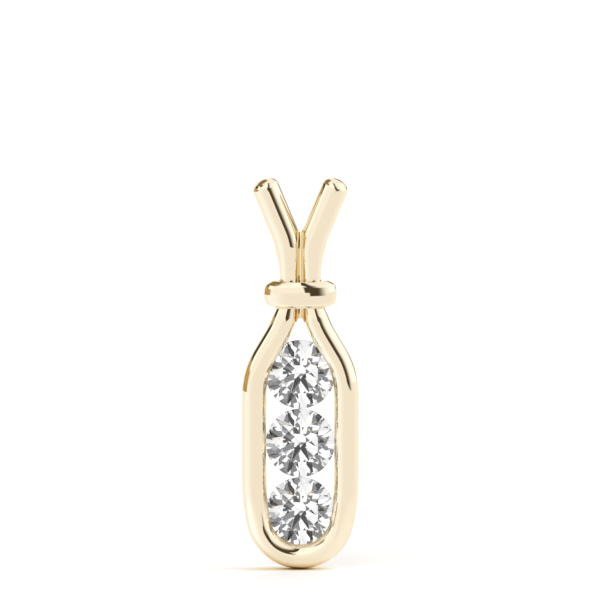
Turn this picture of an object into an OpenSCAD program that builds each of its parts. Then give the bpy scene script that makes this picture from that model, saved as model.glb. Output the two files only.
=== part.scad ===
/* [Loop] */
// Width of the loop over both rods
loop_w = 5.88; // [5.84:0.01:5.92]
// Diameter of the rods beside the stones
rod_d = 1.24; // [1.22:0.01:1.28]
// Depth of the loop's lowest point below the bail's axis
loop_drop = 15.8; // [15.76:0.01:15.84]
// Centre-line radius of the round bottom
bottom_r = 2.11; // [2.08:0.01:2.14]
// Height over which the sides ease in towards the round bottom
ease_h = 1.86; // [1.7:0.02:2.0]

/* [Shoulders] */
// Steepest lean of the shoulders, in degrees from upright
shoulder_lean = 30.6; // [29:0.2:32]
// Centre-line radius of the bend where a shoulder meets the side
shoulder_low_r = 3.95; // [3.6:0.05:4.2]
// Centre-line radius of the bend that leads up into the stem
shoulder_high_r = 4.6; // [4.2:0.05:4.8]

/* [Stem and ears] */
// Diameter of each rod in the stem
stem_rod_d = 1.02; // [0.98:0.01:1.06]
// Gap between the two rods in the stem, which the web closes
stem_gap = 0.03; // [0.02:0.01:0.05]
// Diameter of each ear
ear_d = 1.38; // [1.3:0.01:1.44]
// Lean of the ears, in degrees from upright
ear_lean = 22.9; // [21:0.1:25]
// Centre-line radius of the bend from the stem into an ear
ear_bend_r = 7.6; // [7:0.1:8.2]
// Height of the ears' tops above the bail's axis
ear_top = 3.93; // [3.8:0.01:4.1]
// Length of the rounded nose on each ear
ear_nose = 0.5; // [0.4:0.02:0.68]
// Depth, front to back, of the web between the rods
web_t = 0.4; // [0.3:0.02:0.5]

/* [Collar] */
// Width of the collar, side to side
collar_w = 3.67; // [3.64:0.01:3.7]
// Depth of the collar, front to back
collar_d = 1.84; // [1.8:0.01:1.9]
// Height of the collar's flat ends, bottom to top
collar_h = 1.35; // [1.3:0.01:1.4]
// Radius of the collar's blunt outer face in its section
collar_face_r = 1.18; // [1.1:0.01:1.3]
// Radius that rounds the blunt face off into the flanks
collar_edge_r = 0.24; // [0.22:0.01:0.26]
// Slope of the flanks, in degrees
collar_slope = 28; // [26:0.5:30]
// Height of the collar's middle below the bail's axis
collar_drop = 1.91; // [1.88:0.005:1.94]

/* [Stones] */
// Diameter of each stone
stone_d = 3.45; // [3.43:0.01:3.47]
// Gap between neighbouring stones
stone_gap = 0.02; // [0.01:0.01:0.04]
// Height of the middle stone's centre below the bail's axis
stones_drop = 9.44; // [9.42:0.01:9.46]
// Width of the table over its corners, as a share of the diameter
table_share = 0.55; // [0.52:0.01:0.6]
// Slope of the crown's bezel facets, in degrees
crown_slope = 34.5; // [33:0.5:35]
// Slope of the pavilion's main facets, in degrees
pavilion_slope = 40.8; // [40:0.1:41.4]
// Thickness of the girdle at its thin places
girdle_t = 0.1; // [0.06:0.01:0.12]
// Clearance between a stone and its seat
seat_gap = 0.02; // [0.01:0.005:0.03]

/* [Bail] */
// Outer diameter of the bail's tube
bail_d = 2.0; // [1.9:0.02:2.1]
// Bore of the bail's tube
bail_bore_d = 1.44; // [1.2:0.02:1.5]
// Length of the bail's tube
bail_w = 1.9; // [1.6:0.02:2.0]
// Gap between the bail or the collar and the rods that they sit on
joint_gap = 0.02; // [0.015:0.005:0.03]

/* [Hidden] */
$fn = 96;

// Sides of a swept rod, and steps in each of its bends and in its rounded nose
rod_sides = 24;
bottom_steps = 18;
ease_steps = 2;
bend_steps = 8;
nose_steps = 5;
nose_end_angle = 78;

// Heights at which a rod starts and stops widening, below and above the collar
shoulder_taper = [-2.15, -3.3];
ear_taper = [-1.15, 2.05];

loop_r = rod_d / 2;
stem_r = stem_rod_d / 2;
ear_r = ear_d / 2;
side_x = loop_w / 2 - loop_r;
stem_x = stem_r + stem_gap / 2;

// The rods lie in one upright plane in front of the bail, whose wall beds into the backs of the rods
bail_bed = 0.06;
rod_plane_y = -(bail_d / 2 + stem_r - bail_bed);

// Sides ease in on a long arc that meets the round bottom without a corner
bottom_z = bottom_r + loop_r - loop_drop;
ease_z = bottom_z + ease_h;
ease_r = (side_x * side_x + ease_h * ease_h - bottom_r * bottom_r) / (2 * (side_x - bottom_r));
ease_angle = atan(ease_h / (ease_r - side_x));

// Heights of the upper bend's top, the straight of each shoulder, and the ear bend's foot
shoulder_top_z = -1.65;
ear_foot_z = -0.9;
shoulder_straight = (side_x - stem_x - (shoulder_low_r + shoulder_high_r) * (1 - cos(shoulder_lean)))
    / sin(shoulder_lean);
side_top_z = shoulder_top_z - (shoulder_low_r + shoulder_high_r) * sin(shoulder_lean)
    - shoulder_straight * cos(shoulder_lean);

// The web stops in the crotch between the ears and in the arch under the collar
web_w = 0.5;
web_top = 1.25;
web_foot = -3.08;

// Half height of the nose's top above the point where the ear's nose begins, then that point
nose_rise = sqrt(pow(ear_nose * cos(ear_lean), 2) + pow(ear_r * sin(ear_lean), 2));
nose_z = ear_top - nose_rise;
nose_x = stem_x + ear_bend_r * (1 - cos(ear_lean))
    + (nose_z - ear_foot_z - ear_bend_r * sin(ear_lean)) * tan(ear_lean);

// Half height of the collar, how far its blunt face turns in degrees, and the steps it is made in
collar_half_h = collar_h / 2;
face_turn = 20;
section_steps = 3;
ring_sides = 72;

// Cut proportions of a round brilliant, worked out from the slopes
facets = 8;
facet_step = 360 / facets;
stone_r = stone_d / 2;
girdle_z = girdle_t / 2;
table_r = stone_r * table_share;
table_z = girdle_z + (stone_r - table_r) * tan(crown_slope);
star_share = 0.5;
table_flat_r = table_r * cos(facet_step / 2);
star_r = table_flat_r + star_share * (stone_r - table_flat_r);
star_z = girdle_z + (stone_r - star_r * cos(facet_step / 2)) * tan(crown_slope);
lower_half_share = 0.77;
main_r = stone_r * (1 - lower_half_share) / cos(facet_step / 2);
main_z = -girdle_z - (stone_r - main_r * cos(facet_step / 2)) * tan(pavilion_slope);
culet_z = -girdle_z - stone_r * tan(pavilion_slope);
crown_ridge = (star_z - girdle_z) / (stone_r - star_r);
pavilion_ridge = (-girdle_z - main_z) / (stone_r - main_r);
// The rough that the facets are cut on is wider than the finished round girdle
rough_r = stone_r * 1.06;
stone_pitch = stone_d + stone_gap;

gold = "#E6CB93";
diamond = "#EEF4F8";

// A smooth step from 0 to 1
function ease(t) = let (u = min(max(t, 0), 1)) u * u * (3 - 2 * u);

// Radius of a rod at a height
function rod_radius(z) = stem_r
    + (loop_r - stem_r) * ease((shoulder_taper[0] - z) / (shoulder_taper[0] - shoulder_taper[1]))
    + (ear_r - stem_r) * ease((z - ear_taper[0]) / (ear_taper[1] - ear_taper[0]));

// A station along the right-hand rod: x, z, lean of its heading away from upright, radius
function at(x, z, lean) = [x, z, lean, rod_radius(z)];

ease_stations = [for (i = [1:ease_steps]) let (a = ease_angle * (1 - i / ease_steps))
    at(side_x - ease_r * (1 - cos(a)), ease_z - ease_r * sin(a), a)];
low_bend_stations = [for (i = [0:bend_steps]) let (a = shoulder_lean * i / bend_steps)
    at(side_x - shoulder_low_r * (1 - cos(a)), side_top_z + shoulder_low_r * sin(a), -a)];
high_bend_stations = [for (i = [0:bend_steps]) let (a = shoulder_lean * (1 - i / bend_steps))
    at(stem_x + shoulder_high_r * (1 - cos(a)), shoulder_top_z - shoulder_high_r * sin(a), -a)];
// The stem stays evenly thick up to here, so that the collar's room is a plain cylinder there
stem_station = [at(stem_x, ear_taper[0], 0)];
ear_bend_stations = [for (i = [0:bend_steps]) let (a = ear_lean * i / bend_steps)
    at(stem_x + ear_bend_r * (1 - cos(a)), ear_foot_z + ear_bend_r * sin(a), a)];
nose_stations = [for (i = [0:nose_steps]) let (a = nose_end_angle * i / nose_steps, s = ear_nose * sin(a))
    [nose_x + s * sin(ear_lean), nose_z + s * cos(ear_lean), ear_lean, ear_r * cos(a)]];
bottom_stations = [for (i = [0:bottom_steps]) let (a = 180 - ease_angle - (180 - 2 * ease_angle) * i / bottom_steps)
    at(bottom_r * cos(a), bottom_z - bottom_r * sin(a), a)];
stem_stations = concat(high_bend_stations, stem_station, ear_bend_stations);
side_stations = concat(ease_stations, low_bend_stations, stem_stations, nose_stations);
mirrored_stations = [for (i = [len(side_stations) - 1:-1:0]) let (s = side_stations[i])
    [-s[0], s[1], 180 - s[2], s[3]]];

// The ring of points round one station
function ring(s, grow) = [for (k = [0:rod_sides - 1]) let (a = 360 * k / rod_sides, r = s[3] + grow)
    [s[0] + r * cos(a) * cos(s[2]), r * sin(a), s[1] - r * cos(a) * sin(s[2])]];

// Round rod through the stations, made fatter by grow
module swept_rod(stations, grow = 0) {
    rings = len(stations);
    points = [for (s = stations) each ring(s, grow)];
    walls = [for (i = [0:rings - 2], k = [0:rod_sides - 1])
        let (a = i * rod_sides + k, b = i * rod_sides + (k + 1) % rod_sides)
        each [[a, a + rod_sides, b + rod_sides], [a, b + rod_sides, b]]];
    foot = [for (k = [0:rod_sides - 1]) k];
    end = [for (k = [rod_sides - 1:-1:0]) (rings - 1) * rod_sides + k];
    polyhedron(points, concat(walls, [foot, end]));
}

// Thin web that closes the gap between the rods of the stem
module web() {
    translate([-web_w / 2, -web_t / 2, web_foot]) cube([web_w, web_t, web_top - web_foot]);
}

// Room for one stone: a round seat that clears its girdle, crown and pavilion
module seat() {
    r = stone_r + seat_gap;
    z = girdle_z + seat_gap / 2;
    rotate([90, 0, 0]) rotate_extrude()
        polygon([[0, -z - r * pavilion_ridge], [r, -z], [r, z], [0, z + r * crown_ridge]]);
}

// One rod, bent from ear to ear round the stones, with its stem joined by the web
module loop_frame() {
    color(gold) translate([0, rod_plane_y, 0]) difference() {
        union() {
            swept_rod(concat(mirrored_stations, bottom_stations, side_stations));
            web();
        }
        for (i = [-1:1]) translate([0, 0, i * stone_pitch - stones_drop]) seat();
    }
}

// The collar's section on one side of its axis: blunt face, rounded edges, straight flanks, flat ends
module collar_section() {
    outer_r = collar_w / 2;
    edge_turn = 90 - collar_slope;
    edge_x = outer_r - collar_face_r * (1 - cos(face_turn)) - collar_edge_r * cos(face_turn);
    edge_z = (collar_face_r - collar_edge_r) * sin(face_turn);
    flank_x = edge_x + collar_edge_r * cos(edge_turn);
    flank_z = edge_z + collar_edge_r * sin(edge_turn);
    face = [for (i = [0:section_steps]) let (a = face_turn * i / section_steps)
        [outer_r - collar_face_r * (1 - cos(a)), collar_face_r * sin(a)]];
    edge = [for (i = [1:section_steps]) let (a = face_turn + (edge_turn - face_turn) * i / section_steps)
        [edge_x + collar_edge_r * cos(a), edge_z + collar_edge_r * sin(a)]];
    flat_x = flank_x - (collar_half_h - flank_z) / tan(collar_slope);
    upper = concat(face, edge, [[flat_x, collar_half_h], [0, collar_half_h]]);
    lower = [for (i = [len(upper) - 1:-1:1]) [upper[i][0], -upper[i][1]]];
    polygon(concat(lower, upper));
}

// Room for the stem's two rods, larger all round by the joint's gap
module stem_room() {
    for (side = [0, 1]) mirror([side, 0, 0]) swept_rod(stem_stations, joint_gap);
}

// Band wrapped round both rods of the stem: a round ring, pressed flat front to back
module collar() {
    color(gold) translate([0, rod_plane_y, -collar_drop]) difference() {
        scale([1, collar_d / collar_w, 1]) rotate_extrude($fn = ring_sides) collar_section();
        translate([0, 0, collar_drop]) stem_room();
        cube([2 * stem_x, stem_rod_d - 2 * joint_gap, 2 * collar_h], center = true);
    }
}

// Tube across the back of the stem, on a pad that fits the backs of the two rods
module bail() {
    edge = 0.08;
    pad_w = 1.4;
    pad_h = 0.9;
    pad_y = rod_plane_y + web_t / 2 + joint_gap;
    outer_r = bail_d / 2;
    half_w = bail_w / 2;
    color(gold) difference() {
        union() {
            rotate([0, 90, 0]) rotate_extrude() polygon([
                [0, -half_w], [outer_r - edge, -half_w], [outer_r, edge - half_w],
                [outer_r, half_w - edge], [outer_r - edge, half_w], [0, half_w]
            ]);
            translate([-pad_w / 2, pad_y, -pad_h / 2]) cube([pad_w, -pad_y - bail_bore_d / 2, pad_h]);
        }
        rotate([0, 90, 0]) cylinder(h = 2 * bail_w, d = bail_bore_d, center = true);
        translate([0, rod_plane_y, 0]) stem_room();
    }
}

// Points once round the stone at one radius and height, turned by a part of a facet's step
function around(r, z, turn) = [for (k = [0:facets - 1]) let (a = facet_step * (k + 0.5 + turn))
    [r * cos(a), r * sin(a), z]];

// Heights at which a crown or pavilion slope runs out at the rough's rim
function crown_rim(slope) = girdle_z - (rough_r - stone_r) * slope;
function pavilion_rim(slope) = -girdle_z + (rough_r - stone_r) * slope;

// The facets of a round brilliant, still with an eight-cornered rim
module rough_brilliant() {
    points = concat(
        [[0, 0, culet_z]],
        around(table_r, table_z, 0),
        around(star_r, star_z, 0.5),
        around(rough_r, crown_rim(tan(crown_slope)), 0),
        around(rough_r, crown_rim(crown_ridge), 0.5),
        around(rough_r, pavilion_rim(tan(pavilion_slope)), 0),
        around(rough_r, pavilion_rim(pavilion_ridge), 0.5),
        around(main_r, main_z, 0.5)
    );
    function table(k) = 1 + k % facets;
    function star(k) = 1 + facets + (k + facets) % facets;
    function crown_main(k) = 1 + 2 * facets + k % facets;
    function crown_half(k) = 1 + 3 * facets + k % facets;
    function low_main(k) = 1 + 4 * facets + k % facets;
    function low_half(k) = 1 + 5 * facets + k % facets;
    function pavilion(k) = 1 + 6 * facets + (k + facets) % facets;
    wedge = [for (k = [0:facets - 1]) each [
        [table(k), table(k + 1), star(k)],
        [table(k), star(k), crown_main(k), star(k - 1)],
        [star(k), crown_half(k), crown_main(k)],
        [star(k), crown_main(k + 1), crown_half(k)],
        [crown_main(k), crown_half(k), low_half(k), low_main(k)],
        [crown_half(k), crown_main(k + 1), low_main(k + 1), low_half(k)],
        [pavilion(k), low_main(k), low_half(k)],
        [pavilion(k), low_half(k), low_main(k + 1)],
        [0, pavilion(k - 1), low_main(k), pavilion(k)]
    ]];
    table_face = [for (k = [facets - 1:-1:0]) table(k)];
    polyhedron(points, concat([table_face], wedge));
}

// A stone with its table to the front, counted from the middle one
module brilliant(place) {
    color(diamond) translate([0, rod_plane_y, place * stone_pitch - stones_drop]) rotate([90, 0, 0])
        intersection() {
            translate([0, 0, 2 * culet_z]) cylinder(h = 3 * stone_d, r = stone_r);
            rough_brilliant();
        }
}

module stone_top() { brilliant(1); }
module stone_middle() { brilliant(0); }
module stone_bottom() { brilliant(-1); }

loop_frame();
collar();
bail();
stone_top();
stone_middle();
stone_bottom();
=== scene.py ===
# %% [markdown]
# A slim gold pendant with three stones in a row
#
# The pendant is one polished gold rod, bent round three brilliant-cut stones, with a collar wrapped
# round its stem and a tube behind the stem for the chain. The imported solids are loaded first, as a
# fixed frame in metres. They say where everything sits, and each is then replaced by a finer mesh,
# because a mirror polish shows every flat side of a coarse one.

# %% Load the frame
from math import atan2, cos, hypot, pi, radians, sin, sqrt, tan

import bmesh
import bpy
from mathutils import Matrix, Vector


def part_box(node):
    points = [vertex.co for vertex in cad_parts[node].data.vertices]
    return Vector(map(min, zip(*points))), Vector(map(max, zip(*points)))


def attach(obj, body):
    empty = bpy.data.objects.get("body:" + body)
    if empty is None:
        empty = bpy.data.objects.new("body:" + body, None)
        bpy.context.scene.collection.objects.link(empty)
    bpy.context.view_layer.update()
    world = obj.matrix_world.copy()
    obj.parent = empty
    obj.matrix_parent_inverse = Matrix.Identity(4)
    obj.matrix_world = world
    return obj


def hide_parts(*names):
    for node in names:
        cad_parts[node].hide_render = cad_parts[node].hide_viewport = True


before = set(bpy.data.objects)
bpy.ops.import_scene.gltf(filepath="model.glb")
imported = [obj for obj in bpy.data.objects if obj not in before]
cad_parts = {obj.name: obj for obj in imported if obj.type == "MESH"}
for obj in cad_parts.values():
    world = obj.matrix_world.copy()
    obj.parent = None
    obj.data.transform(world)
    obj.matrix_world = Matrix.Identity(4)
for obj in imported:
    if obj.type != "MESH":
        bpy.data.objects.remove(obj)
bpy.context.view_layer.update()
scene = bpy.context.scene
MM = 0.001
# Corners closer together than this are one corner
weld = 0.0001 * MM
print("frame:", sorted(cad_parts))

# %% [markdown]
# Helpers for finished pieces
#
# A bmesh becomes a piece in the same way each time: its normals are turned outwards, it is shaded
# smooth with sharp edges kept where two faces meet at a real corner, and it rides on the part's
# body. Joining and cutting solids is left to the Boolean modifier, which is applied at once, so the
# finished mesh is one closed shell.

# %% Piece helpers
corner_angle = radians(32)


def new_object(name, bm):
    """A new object at the origin from a bmesh, with its faces turned outwards."""
    bmesh.ops.recalc_face_normals(bm, faces=bm.faces)
    mesh = bpy.data.meshes.new(name)
    bm.to_mesh(mesh)
    bm.free()
    made = bpy.data.objects.new(name, mesh)
    scene.collection.objects.link(made)
    return made


def combine(made, tool, how):
    """Joins a tool to a piece or cuts it away, and removes the tool."""
    step = made.modifiers.new(how, "BOOLEAN")
    step.object = tool
    step.operation = how
    step.solver = "EXACT"
    graph = bpy.context.evaluated_depsgraph_get()
    result = bpy.data.meshes.new_from_object(made.evaluated_get(graph))
    made.modifiers.clear()
    made.data = result
    bpy.data.objects.remove(tool)


def finish_piece(made, cad_nodes, materials, smooth=True):
    """Shades a piece, gives it its materials, and sets it in the place of its CAD nodes."""
    made.data.materials.clear()
    for material in materials:
        made.data.materials.append(material)
    if smooth:
        made.data.shade_smooth()
        made.data.set_sharp_from_angle(angle=corner_angle)
    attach(made, "root")
    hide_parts(*cad_nodes)
    print(made.name, "has", sum(len(p.vertices) - 2 for p in made.data.polygons), "triangles")


# %% [markdown]
# The bent rod's route
#
# A jeweller bends one rod: round the bottom, up a side, in at the shoulder, up the stem and out
# again into an ear. The route is written the same way, as a walk that goes straight or bends by an
# angle at a radius. Every place on it then follows from the bends, and only half of it is walked,
# because the other half is its mirror image.

# %% Sizes of the rod, in metres
loop_low, loop_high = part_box("loop_frame")
rod_y = (loop_low.y + loop_high.y) / 2
floor_z = loop_low.z
loop_r = 0.62 * MM
stem_r = 0.47 * MM
ear_r = 0.69 * MM
# Where the centre line of a rod runs in the loop's side and in the stem
stem_gap = 0.19 * MM
side_x = loop_high.x - loop_r
stem_x = stem_r + stem_gap / 2

# The bottom's bend, and the long arc that eases it out to the loop's full width
bottom_r = 2.11 * MM
ease_h = 1.86 * MM
ease_r = (side_x**2 + ease_h**2 - bottom_r**2) / (2 * (side_x - bottom_r))
ease_turn = atan2(ease_h, ease_r - side_x)

# The shoulder's two bends and the ear's
shoulder_turn = radians(30.6)
low_bend_r = 3.95 * MM
high_bend_r = 4.6 * MM
stem_foot_z = -1.72 * MM
ear_foot_z = 0
ear_turn = radians(22.6)
ear_bend_r = 3.2 * MM
ear_nose = 0.5 * MM
print("the rods stand", round(-rod_y / MM, 2), "mm in front of the bail's axis")

# %% [markdown]
# The rod isn't equally thick all the way: it is slimmest in the stem and thickens towards the loop
# and towards the ears. The thickness eases from one to the other by height, so no step shows in
# the polish.


# %% Thickness by height
def ease(share):
    """A smooth step from 0 to 1."""
    share = min(max(share, 0), 1)
    return share * share * (3 - 2 * share)


shoulder_taper = (-2.15 * MM, -3.3 * MM)
ear_taper = (-0.95 * MM, 0.6 * MM)


def rod_radius(z):
    """Radius of the rod at a height."""
    to_loop = ease((z - shoulder_taper[0]) / (shoulder_taper[1] - shoulder_taper[0]))
    to_ear = ease((z - ear_taper[0]) / (ear_taper[1] - ear_taper[0]))
    return stem_r + (loop_r - stem_r) * to_loop + (ear_r - stem_r) * to_ear


# %% The walk along the right-hand half
class Walk:
    """Walks along the rod's centre line and notes a station every so often."""

    turn_step = radians(2.2)
    stride = 0.25 * MM

    def __init__(self, x, z, lean):
        self.x, self.z, self.lean = x, z, lean
        self.stations = [(x, z, lean)]

    def straight(self, length):
        """Goes straight ahead."""
        count = max(1, round(length / self.stride))
        for _ in range(count):
            self.x += sin(self.lean) * length / count
            self.z += cos(self.lean) * length / count
            self.stations.append((self.x, self.z, self.lean))

    def bend(self, radius, turn):
        """Turns the heading by an angle, positive towards +X, on an arc of that radius."""
        count = max(2, round(abs(turn) / self.turn_step))
        side = 1 if turn > 0 else -1
        hub_x = self.x + side * radius * cos(self.lean)
        hub_z = self.z - side * radius * sin(self.lean)
        for _ in range(count):
            self.lean += turn / count
            self.x = hub_x - side * radius * cos(self.lean)
            self.z = hub_z + side * radius * sin(self.lean)
            self.stations.append((self.x, self.z, self.lean))


bends_x = (low_bend_r + high_bend_r) * (1 - cos(shoulder_turn))
shoulder_length = (side_x - stem_x - bends_x) / sin(shoulder_turn)
shoulder_drop = (low_bend_r + high_bend_r) * sin(shoulder_turn) + shoulder_length * cos(shoulder_turn)

walk = Walk(0, floor_z + loop_r, pi / 2)
walk.bend(bottom_r, -(pi / 2 - ease_turn))
walk.bend(ease_r, -ease_turn)
walk.straight(stem_foot_z - shoulder_drop - walk.z)
walk.bend(low_bend_r, -shoulder_turn)
walk.straight(shoulder_length)
walk.bend(high_bend_r, shoulder_turn)
walk.straight(ear_foot_z - walk.z)
walk.bend(ear_bend_r, ear_turn)
nose_rise = hypot(ear_nose * cos(ear_turn), ear_r * sin(ear_turn))
walk.straight((loop_high.z - nose_rise - walk.z) / cos(ear_turn))
print("stations on half of the rod:", len(walk.stations))

# %% [markdown]
# Sweeping the rod
#
# A curve with a bevel would draw the rod, but it would hide the mesh until it is converted. Here a
# circle is extruded from station to station, and a matrix moves, turns and scales each new ring.
# The ear's rounded nose is a last few rings that shrink along an ellipse. A mirror then makes the
# other half, and its doubles are merged at the bottom.

# %% Sweep helper
rod_sides = 112
nose_steps = 16
# The nose's last ring is almost a point, and a tiny flat closes it
nose_end = radians(88)


def placed_ring(x, z, lean, radius):
    """Matrix that sets a unit circle round the rod's centre line."""
    return Matrix.Translation((x, rod_y, z)) @ Matrix.Rotation(lean, 4, "Y") @ Matrix.Scale(radius, 4)


def swept(rings, capped):
    """A bmesh of a circle extruded through a list of ring matrices. Its start is closed if capped."""
    bm = bmesh.new()
    bmesh.ops.create_circle(bm, cap_ends=capped, segments=rod_sides, radius=1, matrix=rings[0])
    edges = bm.edges[:]
    for last, ring in zip(rings, rings[1:]):
        new = bmesh.ops.extrude_edge_only(bm, edges=edges)["geom"]
        corners = [g for g in new if isinstance(g, bmesh.types.BMVert)]
        edges = [g for g in new if isinstance(g, bmesh.types.BMEdge)]
        bmesh.ops.transform(bm, matrix=ring @ last.inverted(), verts=corners)
        edges = [e for e in edges if all(v in corners for v in e.verts)]
    bmesh.ops.contextual_create(bm, geom=edges)
    return bm


# %% One half of the rod, then its mirror
nose_rings = [nose_end * i / nose_steps for i in range(1, nose_steps + 1)]
half_rings = [placed_ring(x, z, lean, rod_radius(z)) for x, z, lean in walk.stations]
half_rings += [
    placed_ring(
        walk.x + ear_nose * sin(a) * sin(ear_turn),
        walk.z + ear_nose * sin(a) * cos(ear_turn),
        ear_turn,
        ear_r * cos(a),
    )
    for a in nose_rings
]
bm = swept(half_rings, capped=False)
bmesh.ops.mirror(bm, geom=bm.verts[:] + bm.edges[:] + bm.faces[:], axis="X", merge_dist=weld)
bmesh.ops.remove_doubles(bm, verts=bm.verts, dist=weld)
rods = new_object("bent_rods", bm)
print("rods:", len(rods.data.polygons), "faces")

# %% [markdown]
# The web in the stem
#
# Between the two rods of the stem runs a fillet of gold, the solder seam. Its hollow front and back
# touch both rods. It is lofted from outlines: each is two arcs whose hubs are as far from either rod
# as the fillet's radius. Where the rods spread, the radius grows, so that the seam never gets thinner
# than a set amount. A flat block was the other choice, but its straight front would show as a broad
# stripe where the photo has a fine bright line. In the crotch between the ears and in the arch below
# the collar the seam ends in a round edge, so a cylinder is cut away there.

# %% Outline of the web at a height
stem_fillet_r = 0.26 * MM
# The arcs sink into the rods by a hair, so that the union finds a clean line
fillet_sink = 0.004 * MM
fillet_steps = 24
thinnest = 0.05 * MM
# Only the stations near the middle, from the top of the shoulder to the ear, meet the web
stem_stations = [(x, z, lean) for x, z, lean in walk.stations if x < side_x / 2 and z > floor_z / 2]


def rod_at(z):
    """Centre, lean and radius of the right-hand rod at a height in the stem."""
    above = next(i for i, station in enumerate(stem_stations) if station[1] > z)
    low, high = stem_stations[above - 1], stem_stations[above]
    share = (z - low[1]) / (high[1] - low[1])
    x, lean = (low[i] + (high[i] - low[i]) * share for i in (0, 2))
    return x, lean, rod_radius(z)


def web_outline(z, grow):
    """The web's outline at a height, between the places where its arcs touch the rods."""
    x, lean, radius = rod_at(z)
    # A leaning rod is wider across, so its inner side stands nearer to the middle
    x -= radius * (1 / cos(lean) - 1)
    # Where the rods spread, a wider fillet still touches both and stays as thick as the thinnest
    needed = (x**2 + thinnest**2 - radius**2) / (2 * (radius - thinnest))
    fillet_r = max(stem_fillet_r, needed)
    hub = sqrt((radius + fillet_r) ** 2 - x**2) - fillet_sink
    arc_r = fillet_r - grow
    reach = atan2(x, hub)
    turns = [reach * (2 * i / fillet_steps - 1) for i in range(fillet_steps + 1)]
    front = [Vector((arc_r * sin(a), rod_y - hub + arc_r * cos(a), z)) for a in turns]
    return front + [Vector((v.x, 2 * rod_y - v.y, z)) for v in reversed(front)]


# %% Web
web_ends = (-3.3 * MM, 1.33 * MM)
web_rows = 160
# Height and radius of the cylinders that round the web's ends
crotch = (1.34 * MM, 0.105 * MM)
arch = (-3.28 * MM, 0.17 * MM)
end_sides = 96
end_depth = 2 * MM


def round_end(hub_z, radius):
    """A bmesh of the cylinder, lying front to back, that rounds one end of the web."""
    bm = bmesh.new()
    bmesh.ops.create_cone(
        bm,
        cap_ends=True,
        segments=end_sides,
        radius1=radius,
        radius2=radius,
        depth=end_depth,
        matrix=Matrix.Translation((0, rod_y, hub_z)) @ Matrix.Rotation(pi / 2, 4, "X"),
    )
    return bm


def web(name, grow):
    """The web as a solid, thicker by grow. Its outlines are bridged, and the first and last closed."""
    bm = bmesh.new()
    outlines = []
    for i in range(web_rows + 1):
        z = web_ends[0] + (web_ends[1] - web_ends[0]) * i / web_rows
        corners = [bm.verts.new(v) for v in web_outline(z, grow)]
        outlines.append([bm.edges.new(pair) for pair in zip(corners, corners[1:] + corners[:1])])
    for outline, following in zip(outlines, outlines[1:]):
        bmesh.ops.bridge_loops(bm, edges=outline + following)
    for outline in (outlines[0], outlines[-1]):
        bmesh.ops.contextual_create(bm, geom=outline)
    made = new_object(name, bm)
    for hub_z, radius in (crotch, arch):
        combine(made, new_object("round_end", round_end(hub_z, radius - grow)), "DIFFERENCE")
    return made


combine(rods, web("web", 0), "UNION")
print("rods with web:", len(rods.data.polygons), "faces")

# %% [markdown]
# The stones' places
#
# The stones stand in a row, each with its girdle, the thin band at its widest, level with the
# rods' centre line. Their centres come from the frame.

# %% Places of the stones
stone_nodes = ["stone_top", "stone_middle", "stone_bottom"]
stone_boxes = {node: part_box(node) for node in stone_nodes}
stone_r = (stone_boxes["stone_middle"][1].z - stone_boxes["stone_middle"][0].z) / 2
stone_z = {node: (low.z + high.z) / 2 for node, (low, high) in stone_boxes.items()}
girdle_half = 0.05 * MM
crown_slope = radians(34.5)
pavilion_slope = radians(40.8)
print("stone diameter:", round(2 * stone_r / MM, 3), "mm")

# %% [markdown]
# Cutting the seats
#
# The setter cuts a groove into the inside of the rods for each stone. The groove is a double cone
# that clears the stone by a hair, so it is spun from a small profile: the point behind, the
# corners at the girdle, and the point in front.

# %% Seats
seat_gap = 0.02 * MM
seat_r = stone_r + seat_gap
seat_half = girdle_half + seat_gap / 2
# The upper and lower halves are steeper than the main facets, and the seats have to clear them
lower_steeper = 1.04
upper_steeper = 1.15
seat_behind = seat_half + seat_r * tan(pavilion_slope) * lower_steeper
seat_front = seat_half + seat_r * tan(crown_slope) * upper_steeper
seat_steps = 160


def double_cone(z):
    """A bmesh of the seat's double cone, with its axis front to back."""
    bm = bmesh.new()
    profile = [(0, seat_behind), (seat_r, seat_half), (seat_r, -seat_half), (0, -seat_front)]
    corners = [bm.verts.new((r, rod_y + y, z)) for r, y in profile]
    edges = [bm.edges.new(pair) for pair in zip(corners, corners[1:])]
    bmesh.ops.spin(
        bm,
        geom=corners + edges,
        cent=(0, rod_y, z),
        axis=(0, 1, 0),
        angle=2 * pi,
        steps=seat_steps,
        use_merge=True,
    )
    bmesh.ops.remove_doubles(bm, verts=bm.verts, dist=weld)
    return bm


for node in stone_nodes:
    combine(rods, new_object("seat", double_cone(stone_z[node])), "DIFFERENCE")
print("rods with seats:", len(rods.data.polygons), "faces")

# %% [markdown]
# The collar
#
# The collar is a band whose section is blunt outside, has rounded edges and straight flanks, and
# ends in flat rims. Seen from above it is an ellipse. Bending such a band from wire would leave it
# equally thick all round, but here its front is thinner than its ends, as in a round ring that was
# pressed flat. So the half section is spun a full turn, and the ring is then scaled front to back.

# %% Section of the collar
collar_low, collar_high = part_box("collar")
collar_half_w = (collar_high.x - collar_low.x) / 2
collar_half_d = (collar_high.y - collar_low.y) / 2
collar_half_h = (collar_high.z - collar_low.z) / 2
collar_z = (collar_low.z + collar_high.z) / 2
face_r = 1.18 * MM
face_turn = radians(20)
edge_r = 0.24 * MM
flank_slope = radians(28)
section_steps = 12

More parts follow.
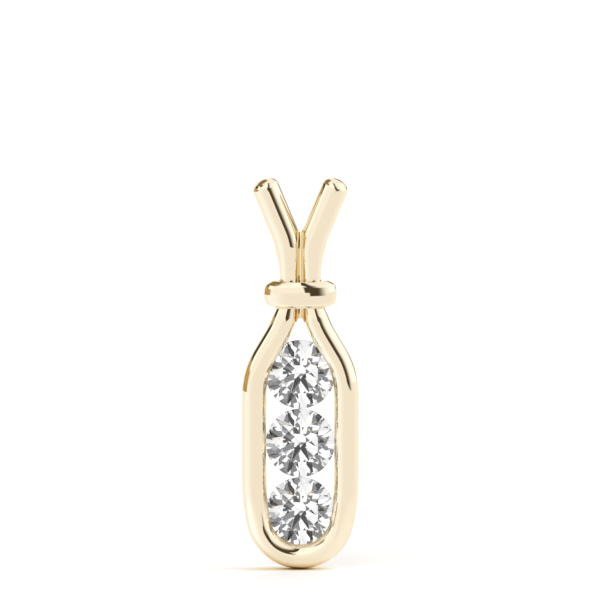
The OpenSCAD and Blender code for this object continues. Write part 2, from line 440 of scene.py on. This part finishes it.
edge_turn = pi / 2 - flank_slope
edge_hub = Vector((collar_half_w - face_r, 0)) + (face_r - edge_r) * Vector((cos(face_turn), sin(face_turn)))
upper = []
for i in range(section_steps + 1):
    a = face_turn * i / section_steps
    upper.append(Vector((collar_half_w - face_r + face_r * cos(a), face_r * sin(a))))
for i in range(1, section_steps + 1):
    a = face_turn + (edge_turn - face_turn) * i / section_steps
    upper.append(edge_hub + edge_r * Vector((cos(a), sin(a))))
flat_r = upper[-1].x - (collar_half_h - upper[-1].y) / tan(flank_slope)
upper += [Vector((flat_r, collar_half_h)), Vector((0, collar_half_h))]
section = [Vector((v.x, -v.y)) for v in reversed(upper[1:])] + upper
print("collar's flat rims start", round(flat_r / MM, 2), "mm from its axis")

# %% Spun and pressed flat
collar_steps = 192
rim_round = 0.06 * MM
rim_near = 0.01 * MM

bm = bmesh.new()
corners = [bm.verts.new((v.x, rod_y, collar_z + v.y)) for v in section]
edges = [bm.edges.new(pair) for pair in zip(corners, corners[1:])]
collar_hub = Vector((0, rod_y, collar_z))
bmesh.ops.spin(
    bm,
    geom=corners + edges,
    cent=collar_hub,
    axis=(0, 0, 1),
    angle=2 * pi,
    steps=collar_steps,
    use_merge=True,
)
bmesh.ops.remove_doubles(bm, verts=bm.verts, dist=weld)


def on_rim(v):
    """Whether a corner lies where a flank meets a flat rim."""
    return abs(hypot(v.co.x, v.co.y - rod_y) - flat_r) < rim_near


rims = [e for e in bm.edges if all(on_rim(v) for v in e.verts)]
bmesh.ops.bevel(bm, geom=rims, offset=rim_round, segments=4, profile=0.5, material=-1, affect="EDGES")
flatten = (1, collar_half_d / collar_half_w, 1)
bmesh.ops.scale(bm, vec=flatten, space=Matrix.Translation(-collar_hub), verts=bm.verts)
collar = new_object("wrapped_collar", bm)
print("collar:", len(collar.data.polygons), "faces")

# %% [markdown]
# The rods pass through the collar with a hair of clearance. The tool that makes the passage is the
# rod itself, swept once more a little thicker, so the gap is even all round. The web gets its way in
# the same manner.

# %% Rod passages
joint_gap = 0.02 * MM
# Heights that the cutter starts and ends at, past both ends of the collar
in_collar = (-3.2 * MM, -0.6 * MM)


def fat_rod(name, side, lowest, highest):
    """The stem's stretch of one rod, thicker by the joint's gap. Side is 1 right, -1 left."""
    rings = [
        placed_ring(side * x, z, side * lean, rod_radius(z) + joint_gap)
        for x, z, lean in walk.stations
        if lowest < z < highest and x < side_x / 2
    ]
    return new_object(name, swept(rings, capped=True))


for side in (1, -1):
    combine(collar, fat_rod("passage", side, *in_collar), "DIFFERENCE")
combine(collar, web("passage", joint_gap), "DIFFERENCE")
print("collar with passages:", len(collar.data.polygons), "faces")

# %% [markdown]
# The bail
#
# The photo can't show how the chain is held, so the bail is the plainest thing that works there: a
# short tube across the back of the stem. Its wall is a small rectangle that is spun into a tube,
# after its corners are bevelled. A pad under it fits the backs of the rods.

# %% Bail tube
bail_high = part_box("bail")[1]
bail_r = bail_high.z
bore_r = 0.72 * MM
bail_half_w = bail_high.x
bail_edge = 0.09 * MM
bail_steps = 128

bm = bmesh.new()
wall = [(-bail_half_w, bore_r), (bail_half_w, bore_r), (bail_half_w, bail_r), (-bail_half_w, bail_r)]
corners = [bm.verts.new((x, 0, r)) for x, r in wall]
bm.faces.new(corners)
bmesh.ops.bevel(
    bm,
    geom=corners,
    offset=bail_edge,
    segments=6,
    profile=0.5,
    material=-1,
    affect="VERTICES",
)
bmesh.ops.spin(
    bm,
    geom=bm.verts[:] + bm.edges[:],
    cent=(0, 0, 0),
    axis=(1, 0, 0),
    angle=2 * pi,
    steps=bail_steps,
    use_merge=True,
)
spun_face = [f for f in bm.faces if all(abs(v.co.y) < weld for v in f.verts)]
bmesh.ops.delete(bm, geom=spun_face, context="FACES_ONLY")
tube = new_object("tube_bail", bm)
print("bail:", len(tube.data.polygons), "faces")

# %% [markdown]
# The pad stands on the tube's front, where the tube is soldered to the stem. It is bevelled so that
# it catches no thread, joined to the tube, and then hollowed by the same fat rods as the collar.

# %% Bail pad
pad_half_w = 0.7 * MM
pad_half_h = 0.45 * MM
pad_front = rod_y + stem_r / 2
# Heights that the cutter starts and ends at, past both ends of the pad
at_pad = (-1.3 * MM, 1.8 * MM)

bm = bmesh.new()
pad_size = Matrix.Diagonal((2 * pad_half_w, -pad_front - bore_r, 2 * pad_half_h, 1))
pad_place = Matrix.Translation((0, (pad_front - bore_r) / 2, 0))
bmesh.ops.create_cube(bm, size=1, matrix=pad_place @ pad_size)
upright = [e for e in bm.edges if abs(e.verts[0].co.y - e.verts[1].co.y) > stem_r / 2]
bmesh.ops.bevel(bm, geom=upright, offset=bail_edge, segments=6, profile=0.5, material=-1, affect="EDGES")
combine(tube, new_object("pad", bm), "UNION")
bm = bmesh.new()
bmesh.ops.create_cone(
    bm,
    cap_ends=True,
    segments=bail_steps,
    radius1=bore_r,
    radius2=bore_r,
    depth=4 * bail_half_w,
    matrix=Matrix.Rotation(pi / 2, 4, "Y"),
)
combine(tube, new_object("bore", bm), "DIFFERENCE")
for side in (1, -1):
    combine(tube, fat_rod("bed", side, *at_pad), "DIFFERENCE")
combine(tube, web("bed", joint_gap), "DIFFERENCE")
print("bail with pad:", len(tube.data.polygons), "faces")

# %% [markdown]
# Cutting a brilliant
#
# A cutter grinds one flat after another on a round piece of rough. The same is done here with
# bisect_plane: a short cylinder is cut by 57 planes, and each cut is closed with a flat face. Every
# plane is given by three points on the stone, which come from the usual proportions of a round
# brilliant: a table of 55 percent, a crown of 34.5 degrees and a pavilion of 40.8 degrees.

# %% Proportions of the brilliant
facets = 8
facet_step = 2 * pi / facets
table_share = 0.55
table_r = table_share * stone_r
table_h = girdle_half + (stone_r - table_r) * tan(crown_slope)
# The stars reach half the way from the table to the girdle
table_flat_r = table_r * cos(facet_step / 2)
star_r = (table_flat_r + stone_r) / 2
star_h = girdle_half + (stone_r - star_r * cos(facet_step / 2)) * tan(crown_slope)
# The lower halves reach this share of the way from the girdle to the point behind
lower_half_share = 0.77
lower_r = stone_r * (1 - lower_half_share) / cos(facet_step / 2)
lower_h = -girdle_half - (stone_r - lower_r * cos(facet_step / 2)) * tan(pavilion_slope)
culet_h = -girdle_half - stone_r * tan(pavilion_slope)
girdle_sides = 160
# A corner this near to a cut's plane lies on it
cut_near = 0.00001 * MM
print("a stone is", round((table_h - culet_h) / MM, 2), "mm deep")


def on_stone(radius, turn, height):
    """A point by its radius, its turn in facet steps, and its height towards the table."""
    angle = facet_step * turn
    return Vector((radius * cos(angle), -height, radius * sin(angle)))


# %% The 57 cuts
def facet_points():
    """Three points on each of the facets' planes."""
    yield [on_stone(table_r, k + 0.5, table_h) for k in range(3)]
    for k in range(facets):
        main, half = k + 0.5, k + 1
        # The main facets, in front from the table to the girdle and behind from the girdle to the point
        across = Vector((-sin(facet_step * main), 0, cos(facet_step * main)))
        for radius, height, flat_r, flat_h in [
            (table_r, table_h, stone_r, girdle_half),
            (0, culet_h, stone_r, -girdle_half),
        ]:
            rim = on_stone(flat_r, main, flat_h)
            yield [on_stone(radius, main, height), rim, rim + across * stone_r]
        # The star, beside the table
        star = on_stone(star_r, half, star_h)
        yield [on_stone(table_r, k + 0.5, table_h), on_stone(table_r, k + 1.5, table_h), star]
        # The upper and lower halves, along the girdle
        for side in (-0.5, 0.5):
            rim = on_stone(stone_r, half, girdle_half)
            yield [star, rim, on_stone(stone_r, half + side, girdle_half)]
            rim = on_stone(stone_r, half, -girdle_half)
            yield [on_stone(lower_r, half, lower_h), rim, on_stone(stone_r, half + side, -girdle_half)]


def cut_brilliant(centre):
    """A bmesh of a brilliant with its table to the front, round that centre."""
    bm = bmesh.new()
    bmesh.ops.create_cone(
        bm,
        cap_ends=True,
        segments=girdle_sides,
        radius1=stone_r,
        radius2=stone_r,
        depth=4 * stone_r,
        matrix=Matrix.Rotation(pi / 2, 4, "X"),
    )
    for a, b, c in facet_points():
        out = (b - a).cross(c - a).normalized()
        if out.dot(a) < 0:
            out.negate()
        cut = bmesh.ops.bisect_plane(
            bm,
            geom=bm.verts[:] + bm.edges[:] + bm.faces[:],
            dist=cut_near,
            plane_co=a,
            plane_no=out,
            clear_outer=True,
        )
        rim = [g for g in cut["geom_cut"] if isinstance(g, bmesh.types.BMEdge)]
        bmesh.ops.contextual_create(bm, geom=rim)
    bmesh.ops.translate(bm, vec=centre, verts=bm.verts)
    return bm


stones = {}
for node in stone_nodes:
    name = node.replace("stone", "brilliant")
    stones[node] = new_object(name, cut_brilliant(Vector((0, rod_y, stone_z[node]))))
    print(name, "has", len(stones[node].data.polygons), "faces")

# %% [markdown]
# Materials
#
# Polished gold is a mirror with a warm tint. What tells it from plastic under glass is what it
# mirrors, so the finish stays quiet: faint polishing marks that shift the roughness a little. The
# same marks, coarser, give the seats and the bail's bore their duller finish, and they tell the
# solder seam and the stones' ground girdles from the polished faces, so they are one node group. The
# seats, the rods' inner edges and the bore also get a deeper tint than the polished gold, which is
# painted shade, and the seam gets painted shade towards the rods. The stones are clear with a high
# refractive index.


# %% Node helpers
class Tree:
    """A node tree, with short calls for the nodes that it needs again and again."""

    def __init__(self, tree):
        self.nodes = tree.nodes
        self.new = tree.nodes.new
        self.link = tree.links.new

    def axes(self, kind):
        """X, Y and Z of the coordinates of that kind."""
        place = self.new("ShaderNodeTexCoord")
        split = self.new("ShaderNodeSeparateXYZ")
        self.link(place.outputs[kind], split.inputs[0])
        return split.outputs

    def maths(self, operation, *values):
        """A maths node; values are numbers or the outputs of other nodes."""
        node = self.new("ShaderNodeMath")
        node.operation = operation
        for socket, value in zip(node.inputs, values):
            if isinstance(value, (int, float)):
                socket.default_value = value
            else:
                self.link(value, socket)
        return node.outputs[0]

    def azimuth(self, x, y):
        """How far a place is turned round the upright axis: 0 in front, and more to the right."""
        return self.maths("ARCTAN2", x, self.maths("MULTIPLY", y, -1))

    def smooth_step(self, value, start, end):
        """0 before start, 1 after end, smooth in between."""
        node = self.new("ShaderNodeMapRange")
        node.interpolation_type = "SMOOTHSTEP"
        node.inputs["From Min"].default_value = start
        node.inputs["From Max"].default_value = end
        self.link(value, node.inputs["Value"])
        return node.outputs["Result"]

    def angle_step(self, value, start, end):
        """The same for an angle, between two angles in degrees."""
        return self.smooth_step(value, radians(start), radians(end))

    def between(self, value, rising, falling):
        """1 between two steps of an angle, 0 outside them."""
        return self.maths("SUBTRACT", self.angle_step(value, *rising), self.angle_step(value, *falling))

    def blend(self, factor, under, over):
        """Mixes a colour, given as a value or a socket, towards another by a factor."""
        node = self.new("ShaderNodeMix")
        node.data_type = "RGBA"
        self.link(factor, node.inputs["Factor"])
        for socket, colour in ((node.inputs["A"], under), (node.inputs["B"], over)):
            if isinstance(colour, tuple):
                socket.default_value = colour
            else:
                self.link(colour, socket)
        return node.outputs["Result"]


# %% Polishing marks, shared by several finishes
# The noise hardly ever leaves this range
noise_low = 0.35
noise_high = 0.65


def polish_marks():
    """A node group: fine stretched noise that puts out a roughness and a height."""
    group = bpy.data.node_groups.new("polish_marks", "ShaderNodeTree")
    for name, low, high, start in [
        ("Scale", 0, 100000, 2500),
        ("Stretch", 1, 50, 8),
        ("Smooth Roughness", 0, 1, 0.03),
        ("Worn Roughness", 0, 1, 0.08),
    ]:
        socket = group.interface.new_socket(name, in_out="INPUT", socket_type="NodeSocketFloat")
        socket.min_value = low
        socket.max_value = high
        socket.default_value = start
    for name in ("Roughness", "Height"):
        group.interface.new_socket(name, in_out="OUTPUT", socket_type="NodeSocketFloat")
    tree = Tree(group)
    given = tree.new("NodeGroupInput")
    put_out = tree.new("NodeGroupOutput")
    x, y, z = tree.axes("Object")
    stretched = tree.new("ShaderNodeCombineXYZ")
    tree.link(x, stretched.inputs["X"])
    tree.link(y, stretched.inputs["Y"])
    tree.link(tree.maths("DIVIDE", z, given.outputs["Stretch"]), stretched.inputs["Z"])
    marks = tree.new("ShaderNodeTexNoise")
    marks.inputs["Detail"].default_value = 4
    tree.link(stretched.outputs[0], marks.inputs["Vector"])
    tree.link(given.outputs["Scale"], marks.inputs["Scale"])
    wear = tree.new("ShaderNodeMapRange")
    wear.inputs["From Min"].default_value = noise_low
    wear.inputs["From Max"].default_value = noise_high
    tree.link(marks.outputs["Fac"], wear.inputs["Value"])
    tree.link(given.outputs["Smooth Roughness"], wear.inputs["To Min"])
    tree.link(given.outputs["Worn Roughness"], wear.inputs["To Max"])
    tree.link(wear.outputs["Result"], put_out.inputs["Roughness"])
    tree.link(marks.outputs["Fac"], put_out.inputs["Height"])
    print("the group of polishing marks has", len(tree.nodes), "nodes")
    return group


# %% A material with polishing marks
marks_group = polish_marks()
marks_depth = 0.002 * MM


def marked_material(name, scale, stretch, smooth, worn, bump):
    """A material whose roughness and bump come from the polishing marks, and its shader node."""
    material = bpy.data.materials.new(name)
    material.use_nodes = True
    tree = Tree(material.node_tree)
    shader = tree.nodes["Principled BSDF"]
    marks = tree.new("ShaderNodeGroup")
    marks.node_tree = marks_group
    marks.inputs["Scale"].default_value = scale
    marks.inputs["Stretch"].default_value = stretch
    marks.inputs["Smooth Roughness"].default_value = smooth
    marks.inputs["Worn Roughness"].default_value = worn
    relief = tree.new("ShaderNodeBump")
    relief.inputs["Strength"].default_value = bump
    relief.inputs["Distance"].default_value = marks_depth
    tree.link(marks.outputs["Roughness"], shader.inputs["Roughness"])
    tree.link(marks.outputs["Height"], relief.inputs["Height"])
    tree.link(relief.outputs["Normal"], shader.inputs["Normal"])
    return material, shader


# %% Golds
def gold_finish(name, tint, **marks):
    """A gold of that tint, with those polishing marks."""
    material, shader = marked_material(name, **marks)
    shader.inputs["Base Color"].default_value = tint
    shader.inputs["Metallic"].default_value = 1
    return material


polished_tint = (0.896, 0.79, 0.604, 1)
# The cut gold's deeper tint is painted shade; only its rougher marks are a real cut finish
shaded_cut_tint = (0.88, 0.7, 0.42, 1)
polished_marks = dict(scale=1800, stretch=6, smooth=0.02, worn=0.05, bump=0.02)
cut_marks = dict(scale=4000, stretch=1, smooth=0.22, worn=0.42, bump=0.06)
seam_marks = dict(scale=3000, stretch=3, smooth=0.03, worn=0.09, bump=0.04)

polished_gold = gold_finish("polished_gold", polished_tint, **polished_marks)
cut_and_shaded_gold = gold_finish("cut_and_shaded_gold", shaded_cut_tint, **cut_marks)
seam_gold = gold_finish("seam_gold", polished_tint, **seam_marks)
print("golds:", polished_gold.name, cut_and_shaded_gold.name, seam_gold.name)

# %% [markdown]
# The solder that joins the two rods of the stem is bright along its middle and is painted a darker
# tan towards the rods, as shade in the crease between them. Its colour therefore follows the
# distance from the pendant's middle line, as a share of the seam's half width.

# %% Colour of the solder, with painted crease shade
seam_half_w = 0.24 * MM
bright_share = 0.08
crease_shade_share = 0.25
bright_solder = (0.94, 0.75, 0.46, 1)
# Painted shade: the tan stands in for the shade in the crease where the seam meets the rods
painted_crease_shade = (0.72, 0.54, 0.27, 1)

tree = Tree(seam_gold.node_tree)
aside = tree.maths("DIVIDE", tree.maths("ABSOLUTE", tree.axes("Object")["X"]), seam_half_w)
solder_with_painted_shade = tree.blend(tree.smooth_step(aside, bright_share, crease_shade_share), bright_solder, painted_crease_shade)
tree.link(solder_with_painted_shade, tree.nodes["Principled BSDF"].inputs["Base Color"])
print("the solder is brightest for", round(2 * bright_share * seam_half_w / MM, 3), "mm across")

# %% Diamond and its ground girdle
diamond, shader = marked_material("diamond", scale=900, stretch=1, smooth=0, worn=0.004, bump=0.02)
shader.inputs["Base Color"].default_value = (1, 1, 1, 1)
shader.inputs["IOR"].default_value = 2.417
shader.inputs["Transmission Weight"].default_value = 1
# The gloss of the front facets is kept down, because it would veil the sparkle from inside
shader.inputs["Specular Tint"].default_value = (0.25, 0.25, 0.25, 1)

girdle, shader = marked_material("ground_girdle", scale=6000, stretch=1, smooth=0.35, worn=0.6, bump=0.2)
shader.inputs["Base Color"].default_value = (0.1, 0.1, 0.11, 1)
print("stone finishes:", diamond.name, girdle.name)

# %% [markdown]
# The pieces take their places. A cut face isn't told apart by which tool made it, as a Boolean
# forgets that, but by where it lies: on a seat's double cone, on the inner edge that looks straight
# at the row of stones, on the seam, in the bail's bore, or upright at a girdle.

# %% Finishes by place
# A face with its middle this near to a surface lies on it
near = 0.004 * MM
# The least that an inner edge looks towards the stones, and the most that a girdle looks to the front
edge_facing = 0.8
girdle_facing = 0.1


# The inner edge is given the cut gold's deeper tint, which is painted shade
def on_inner_edge(face):
    """Whether a face looks straight at the row of stones, as the edge does that is cut with the seats."""
    row_z = min(max(face.center.z, stone_z["stone_bottom"]), stone_z["stone_top"])
    away = Vector((face.center.x, 0, face.center.z - row_z))
    return away.length < side_x and face.normal.dot(away) < -edge_facing * away.length


def on_seat(face):
    """Whether a face lies on a seat."""
    for z in stone_z.values():
        out = hypot(face.center.x, face.center.z - z)
        deep = face.center.y - rod_y
        point = seat_behind if deep > 0 else seat_front
        slope = point + (seat_half - point) * out / seat_r
        if out < seat_r + near and (abs(abs(deep) - slope) < near or abs(out - seat_r) < near):
            return True
    return False


def on_seam(face):
    """Whether a face lies on the seam between the rods of the stem."""
    if not web_ends[0] < face.center.z < web_ends[1]:
        return False
    x, lean, radius = rod_at(face.center.z)
    out = hypot((x - abs(face.center.x)) * cos(lean), face.center.y - rod_y)
    return abs(face.center.x) < seam_half_w or (abs(face.center.x) < x and out > radius + near)


def in_bore(face):
    """Whether a face lies on the bail's bore."""
    return hypot(face.center.y, face.center.z) < bore_r + near


def on_girdle(face):
    """Whether a face of a stone stands upright on its girdle."""
    return abs(face.normal.y) < girdle_facing


def refinish(made, index, belongs):
    """Gives the faces that belong there another of the piece's materials."""
    faces = [face for face in made.data.polygons if belongs(face)]
    for face in faces:
        face.material_index = index
    print(made.name, "has", len(faces), "faces of", made.data.materials[index].name)


# %% Finished pieces
finish_piece(rods, ["loop_frame"], [polished_gold, cut_and_shaded_gold, seam_gold])
# The seats, the inner edges and the bore take the cut gold, whose deeper tint is painted shade
refinish(rods, 1, on_seat)
refinish(rods, 1, on_inner_edge)
refinish(rods, 2, on_seam)
finish_piece(collar, ["collar"], [polished_gold])
finish_piece(tube, ["bail"], [polished_gold, cut_and_shaded_gold])
refinish(tube, 1, in_bore)
for node, stone in stones.items():
    finish_piece(stone, [node], [diamond, girdle], smooth=False)
    refinish(stone, 1, on_girdle)

# %% [markdown]
# The studio
#
# Jewellery is shot in a white tent, so that the metal mirrors almost nothing but white. What gives
# it form are a few darker and brighter things around it: a tall dark card in front on the right,
# a wooden one on the left with dark ones above it, and three bright panels. They are so far away
# that only their direction counts, so they are painted on the world by azimuth and elevation.
# Real lamps and boards would do it too, but each would have to be placed again for every change of
# the scale.

# %% World
brightest = 1.4

world = bpy.data.worlds.new("white_tent")
scene.world = world
world.use_nodes = True
studio = Tree(world.node_tree)
sky = studio.nodes["Background"]
sky.inputs["Strength"].default_value = brightest
x, y, z = studio.axes("Generated")
azimuth = studio.azimuth(x, y)
elevation = studio.maths("ARCSINE", z)


def lit(light):
    """A colour of light as a share of the brightest, because the world's strength multiplies it."""
    return tuple(value / brightest for value in light) + (1,)


def card(under, light, left, right, low, high, lean=0):
    """Paints a card over what is under it. Each side fades between two angles, and the left may lean."""
    leaning = studio.maths("MULTIPLY_ADD", elevation, lean, azimuth)
    sides = studio.maths("SUBTRACT", studio.angle_step(leaning, *left), studio.angle_step(azimuth, *right))
    ends = studio.between(elevation, low, high)
    return studio.blend(studio.maths("MULTIPLY", sides, ends), under, lit(light))


def hung(view, cards):
    """A view with cards hung in it, one over the other."""
    for placed_card in cards:
        view = card(view, *placed_card)
    print("cards hung:", len(cards))
    return view


# %% Panels and cards, from the back to the front of the painting
bare_tent = lit((1.08, 1.08, 1.08))
bright = (1.4, 1.4, 1.4)
pale = (1.25, 1.25, 1.25)
grey = (0.5, 0.48, 0.43)
wood = (0.57, 0.39, 0.17)
brown = (0.3, 0.2, 0.08)
dark = (0.08, 0.06, 0.035)
below = (-8, -7)

# Columns: light, left side, right side, lower end, upper end, lean of the left side
gold_view = hung(bare_tent, [
    (pale, (-62, -50), (2, 8), (16, 30), (80, 88)),
    (bright, (62, 75), (120, 128), (1, 3), (45, 60)),
    (bright, (-94, -90), (-74, -62), (7, 9), (30, 36)),
    (grey, (124, 134), (160, 170), below, (10, 16)),
    (brown, (-175, -165), (-108, -98), (28, 34), (66, 72)),
    (brown, (-116, -106), (-66, -48), (34, 40), (54, 62)),
    (wood, (-134, -124), (-92, -80), below, (13, 17)),
    (wood, (-134, -124), (-76, -66), below, (8, 12)),
    (dark, (-134, -126), (-94, -86), (13, 17), (28, 34)),
    (dark, (154, 158), (172, 178), (8, 12), (26, 32)),
    (dark, (14, 16), (30, 58), below, (13, 18), 0.14),
    (dark, (14, 16), (18, 42), (9, 13), (68, 76), 0.14),
    (dark, (14, 16), (34, 61), (64, 72), (84, 89), 0.14),
    (dark, (6, 9), (18, 20), (0, 1), (24, 28), 0.15),
])

# %% [markdown]
# The stones need more contrast than the gold. A brilliant throws back the light that comes over the
# looker's shoulder, and it only sparkles where bright places stand right beside dark ones. A
# photographer lights the stones apart from the metal and joins the two pictures. Here the world
# tells the rays that leave a stone from all others, and shows them cards of their own: mostly shade
# on the left, tent on the right. The camera itself is shown the bare tent.

# %% Cards for the stones
soft_tent = lit((0.92, 0.92, 0.92))
tent = (1.1, 1.1, 1.1)
cool = (1.1, 1.2, 1.35)
warm = (1.3, 1.15, 1)
shade = (0.21, 0.21, 0.22)
black = (0.01, 0.01, 0.01)

# Columns: light, left side, right side, lower end, upper end
stone_view = hung(soft_tent, [
    (shade, (-93, -87), (5, 10), (-78, -72), (57, 63)),
    (tent, (-40, -35), (-25, -20), (-33, -27), (42, 48)),
    (tent, (-2, 2), (20, 25), (-25, -20), (-10, -5)),
    (shade, (20, 25), (57, 63), (28, 32), (65, 70)),
    (black, (-25, -20), (-10, -5), (5, 10), (42, 48)),
    (tent, (-18, -12), (28, 32), (-70, -65), (-33, -28)),
    (black, (-10, -5), (5, 10), (-10, -5), (5, 10)),
    (tent, (-2, 2), (13, 17), (-2, 2), (20, 25)),
    (tent, (-63, -57), (-40, -35), (-48, -42), (5, 10)),
    (shade, (-2, 2), (20, 25), (-33, -28), (-18, -13)),
    (cool, (-123, -117), (-85, -80), (-70, -65), (5, 10)),
    (tent, (5, 10), (20, 25), (-25, -20), (-2, 2)),
    (shade, (13, 17), (28, 32), (-33, -28), (-18, -13)),
    (warm, (80, 85), (117, 123), (5, 10), (72, 78)),
])

ray_kind = studio.new("ShaderNodeLightPath")
mirrored = studio.blend(ray_kind.outputs["Is Transmission Ray"], gold_view, stone_view)
studio.link(studio.blend(ray_kind.outputs["Is Camera Ray"], mirrored, bare_tent), sky.inputs["Color"])

# %% [markdown]
# The floor
#
# The pendant stands on white paper that runs far back. The paper lies a hair below the pendant's
# foot. A glow evens it out to pure white except round the foot. There the paper's own colour is
# painted with a shadow and a warm bounce from the gold, over the real shade: a thin dark line, with
# a faint tail to the left. On the paper's front left a painted pool of light glows in place of a key
# light's pool, and it shows as the long highlight on the rods. The tall dark card in front on the
# right and the wooden one on the left stand on the paper, so from there on they hide it. Only what
# the gold mirrors counts, so the camera itself is shown the bare paper.

# %% Paper
floor_size = 2
floor_gap = 0.02 * MM

bm = bmesh.new()
bmesh.ops.create_grid(bm, x_segments=1, y_segments=1, size=floor_size)
bmesh.ops.translate(bm, vec=(0, 0, floor_z - floor_gap), verts=bm.verts)
floor = new_object("floor", bm)
floor.visible_transmission = False
paper = bpy.data.materials.new("white_paper")
paper.use_nodes = True
floor.data.materials.append(paper)
tree = Tree(paper.node_tree)
shader = tree.nodes["Principled BSDF"]
shader.inputs["Roughness"].default_value = 1
shader.inputs["Specular IOR Level"].default_value = 0
print("the paper reaches", floor_size, "m each way")

# %% Distance from the foot, as a share of the shadow's reach
foot_x = -0.3 * MM
shadow_reach = 2 * MM
tail_share = 0.64
right_share = 0.8
depth_share = 2.2

x, y, _ = tree.axes("Object")
aside = tree.maths("DIVIDE", tree.maths("SUBTRACT", x, foot_x), shadow_reach)
deep = tree.maths("DIVIDE", tree.maths("SUBTRACT", y, rod_y), shadow_reach / depth_share)
# To the left only the distance's root counts, and that draws the shadow out into a tail
to_left = tree.maths("SQRT", tree.maths("MAXIMUM", tree.maths("MULTIPLY", aside, -1), 0))
to_right = tree.maths("MAXIMUM", aside, 0)
across = tree.maths("MULTIPLY_ADD", to_left, tail_share, tree.maths("MULTIPLY", to_right, right_share))
share = tree.maths("SQRT", tree.maths("MULTIPLY_ADD", across, across, tree.maths("MULTIPLY", deep, deep)))
print("the tail reaches", round(shadow_reach / MM / tail_share**2, 1), "mm to the left")

# %% The painted pool of light and the cards' feet, by their direction from the middle
pool_sides = ((-96, -76), (-60, -20))
pool_edge = (0.9, 1.6)
dark_sides = ((14, 17), (30, 58))
wood_sides = ((-134, -124), (-76, -66))
feet_edge = (100 * MM, 110 * MM)

azimuth = tree.azimuth(x, y)
away = tree.maths("SQRT", tree.maths("MULTIPLY_ADD", x, x, tree.maths("MULTIPLY", y, y)))
painted_pool = tree.maths("MULTIPLY", tree.between(azimuth, *pool_sides), tree.smooth_step(share, *pool_edge))
ray_kind = tree.new("ShaderNodeLightPath")
mirrored = tree.maths("SUBTRACT", 1, ray_kind.outputs["Is Camera Ray"])
far = tree.maths("MULTIPLY", tree.smooth_step(away, *feet_edge), mirrored)
dark_foot = tree.maths("MULTIPLY", tree.between(azimuth, *dark_sides), far)
wood_foot = tree.maths("MULTIPLY", tree.between(azimuth, *wood_sides), far)
print("the cards stand", round(feet_edge[0] / MM), "mm away")

# %% Colour of the paper, with a painted shadow and a painted warm bounce round the foot
# Painted shadow: round the foot the paper's colour darkens to a brown core, then passes through a painted
# warm bounce from the gold to white
shadow_core = (0.4, 0.27, 0.12, 1)
painted_warm_bounce = (0.86, 0.74, 0.54, 1)
white = (0.94, 0.94, 0.94, 1)
core_share = 0.16
bounce_share = 0.5
white_share = 0.97

painted_shadow_ramp = tree.new("ShaderNodeValToRGB")
painted_shadow_ramp.color_ramp.interpolation = "EASE"
painted_shadow_ramp.color_ramp.elements[0].position = core_share
painted_shadow_ramp.color_ramp.elements[0].color = shadow_core
painted_shadow_ramp.color_ramp.elements[1].position = white_share
painted_shadow_ramp.color_ramp.elements[1].color = white
painted_shadow_ramp.color_ramp.elements.new(bounce_share).color = painted_warm_bounce
tree.link(share, painted_shadow_ramp.inputs["Fac"])
ground = tree.blend(dark_foot, painted_shadow_ramp.outputs["Color"], dark + (1,))
ground = tree.blend(wood_foot, ground, wood + (1,))
tree.link(ground, shader.inputs["Base Color"])
print("colours on the paper:", len(painted_shadow_ramp.color_ramp.elements))

# %% [markdown]
# The foot itself doesn't glow. Round it a ring of painted light rises, to whiten what the pendant
# shades, and then the glow falls to what open paper needs. Behind the pendant and close beside it
# the paper gets a little more painted light, which lifts the pendant's shade there, because that is
# what the camera sees.

# %% Glow of the paper
near_glow = 0.26
open_glow = 0.16
seen_glow = 0.1
painted_pool_tint = (1.6, 2, 2.6, 1)
rise_edge = (0.2, 0.62)
fall_edge = (0.7, 1.1)
behind_edge = (60, 110)
beside_edge = (10 * MM, 25 * MM)

# Painted light: the glow takes the painted shadow's colours round the foot, and a cool tint in the painted
# pool of light
tree.link(tree.blend(painted_pool, painted_shadow_ramp.outputs["Color"], painted_pool_tint), shader.inputs["Emission Color"])
# Painted light: a ring of glow round the foot whitens the pendant's shade, and more glow lifts it behind and
# beside
rise = tree.maths("MULTIPLY", tree.smooth_step(share, *rise_edge), near_glow)
behind = tree.angle_step(tree.maths("ABSOLUTE", azimuth), *behind_edge)
beside = tree.maths("SUBTRACT", 1, tree.smooth_step(away, *beside_edge))
seen = tree.maths("MAXIMUM", behind, beside)
fall = tree.maths("MULTIPLY_ADD", seen, seen_glow, open_glow - near_glow)
glow = tree.maths("MULTIPLY_ADD", tree.smooth_step(share, *fall_edge), fall, rise)
bare = tree.maths("SUBTRACT", 1, tree.maths("ADD", dark_foot, wood_foot))
tree.link(tree.maths("MULTIPLY", glow, bare), shader.inputs["Emission Strength"])
print("the paper has", len(tree.nodes), "nodes")

# %% [markdown]
# The camera
#
# The photo looks down on the pendant by a few degrees, from so far away that nothing shrinks with
# distance. A long lens does the same. The point at the picture's middle lies in the rods' plane.
# Light goes to and fro in a brilliant many times before it leaves, so its rays may bounce often.

# %% Camera
camera_dip = radians(7.6)
camera_far = 0.6
frame_width = 30 * MM
aim = Vector((-0.015 * MM, rod_y, -2.22 * MM))
stone_bounces = 32
gold_bounces = 12

camera = bpy.data.objects.new("camera", bpy.data.cameras.new("camera"))
scene.collection.objects.link(camera)
camera.data.lens = camera.data.sensor_width * camera_far / frame_width
camera.data.clip_start = 0.01
camera.data.clip_end = 10
camera.location = aim + Vector((0, -cos(camera_dip), sin(camera_dip))) * camera_far
camera.rotation_euler = (pi / 2 - camera_dip, 0, 0)
scene.camera = camera
scene.view_settings.view_transform = "Standard"
scene.cycles.max_bounces = stone_bounces
scene.cycles.transmission_bounces = stone_bounces
scene.cycles.glossy_bounces = gold_bounces
print("the lens is", round(camera.data.lens), "mm long")
